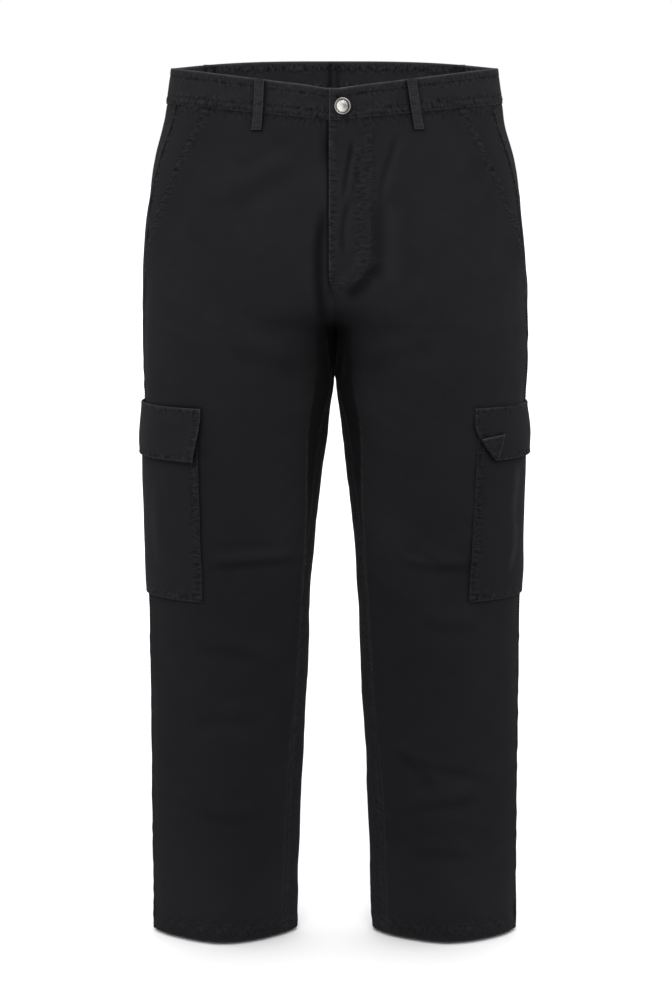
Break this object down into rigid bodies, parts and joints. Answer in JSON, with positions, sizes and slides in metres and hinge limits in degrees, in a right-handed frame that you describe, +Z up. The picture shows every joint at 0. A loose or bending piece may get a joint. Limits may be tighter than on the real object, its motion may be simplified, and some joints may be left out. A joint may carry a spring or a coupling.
{
  "type": "cargo pants",
  "caption": "Straight-leg twill cargo pants, filled out and hollow as when worn, with a buttoned waistband, fly, slant pockets and flapped cargo pockets on the thighs.",
  "frame": {"origin": "centre of the waist, level with the waistband's top edge at the sides, where the wearer holds it up", "axes": "+Z up along the body, +X to the wearer's left, -Y to the front"},
  "size_m": [0.4678, 0.2264, 1.0522],
  "materials": {
    "twill": "charcoal cotton twill, matt, softly washed along the seams",
    "button_metal": "bright nickel, brushed"
  },
  "bodies": {
    "root": {"left_front": "twill", "right_front": "twill", "left_back": "twill", "right_back": "twill", "left_pocket_facing": "twill", "right_pocket_facing": "twill", "waistband": "twill", "belt_loop_front_left": "twill", "belt_loop_front_right": "twill", "belt_loop_back_left": "twill", "belt_loop_back_right": "twill", "belt_loop_centre_back": "twill", "left_cargo_pocket": "twill", "right_cargo_pocket": "twill", "left_cargo_flap": "twill", "right_cargo_flap": "twill", "left_flap_corner": "twill", "button": "button_metal"}
  },
  "joints": []
}
